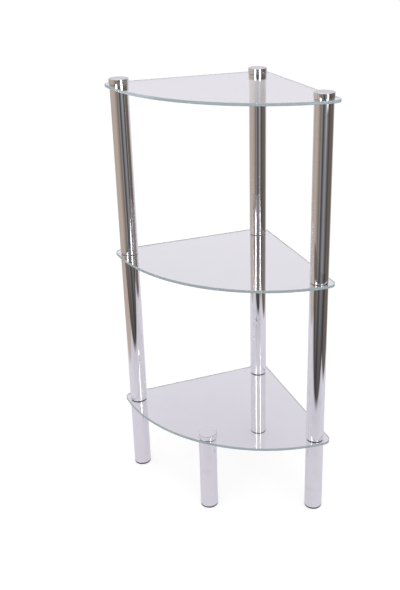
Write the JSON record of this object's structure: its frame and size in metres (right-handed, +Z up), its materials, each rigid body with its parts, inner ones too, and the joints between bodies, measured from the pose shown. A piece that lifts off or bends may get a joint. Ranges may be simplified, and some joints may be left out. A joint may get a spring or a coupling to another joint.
{
  "type": "glass corner shelf",
  "caption": "Free-standing corner shelf: quarter-round clear glass shelves clamped between chromed tube posts with flared end caps, on short legs with plastic glides.",
  "frame": {"origin": "on the floor, under the centre of the bounding box", "axes": "+Z up; -Y is the curved front; +Y points at the square back corner; X runs from the left post to the right post"},
  "size_m": [0.414, 0.2958, 0.77],
  "materials": {
    "clear_glass": "clear, polished edges",
    "chrome_tube": "bright chrome plate",
    "chrome_cap": "bright chrome plate",
    "zinc_stud": "zinc plated",
    "washer_plastic": "natural, translucent",
    "plug_plastic": "black, moulded",
    "glide_plastic": "dark grey, moulded"
  },
  "bodies": {
    "root": {"bottom_stud_front": "zinc_stud", "bottom_stud_left": "zinc_stud", "bottom_stud_rear": "zinc_stud", "bottom_stud_right": "zinc_stud", "bottom_washers_front": "washer_plastic", "bottom_washers_left": "washer_plastic", "bottom_washers_rear": "washer_plastic", "bottom_washers_right": "washer_plastic", "foot_glide_front": "glide_plastic", "foot_glide_left": "glide_plastic", "foot_glide_rear": "glide_plastic", "foot_glide_right": "glide_plastic", "front_leg_cap": "chrome_cap", "glass_shelf_bottom": "clear_glass", "glass_shelf_middle": "clear_glass", "glass_shelf_top": "clear_glass", "leg_plug_front": "plug_plastic", "leg_plug_left": "plug_plastic", "leg_plug_rear": "plug_plastic", "leg_plug_right": "plug_plastic", "leg_tube_front": "chrome_tube", "leg_tube_left": "chrome_tube", "leg_tube_rear": "chrome_tube", "leg_tube_right": "chrome_tube", "lower_base_plug_left": "plug_plastic", "lower_base_plug_rear": "plug_plastic", "lower_base_plug_right": "plug_plastic", "lower_head_plug_left": "plug_plastic", "lower_head_plug_rear": "plug_plastic", "lower_head_plug_right": "plug_plastic", "lower_tube_left": "chrome_tube", "lower_tube_rear": "chrome_tube", "lower_tube_right": "chrome_tube", "middle_stud_left": "zinc_stud", "middle_stud_rear": "zinc_stud", "middle_stud_right": "zinc_stud", "middle_washers_left": "washer_plastic", "middle_washers_rear": "washer_plastic", "middle_washers_right": "washer_plastic", "top_cap_left": "chrome_cap", "top_cap_rear": "chrome_cap", "top_cap_right": "chrome_cap", "top_stud_left": "zinc_stud", "top_stud_rear": "zinc_stud", "top_stud_right": "zinc_stud", "top_washers_left": "washer_plastic", "top_washers_rear": "washer_plastic", "top_washers_right": "washer_plastic", "upper_base_plug_left": "plug_plastic", "upper_base_plug_rear": "plug_plastic", "upper_base_plug_right": "plug_plastic", "upper_head_plug_left": "plug_plastic", "upper_head_plug_rear": "plug_plastic", "upper_head_plug_right": "plug_plastic", "upper_tube_left": "chrome_tube", "upper_tube_rear": "chrome_tube", "upper_tube_right": "chrome_tube"}
  },
  "joints": []
}
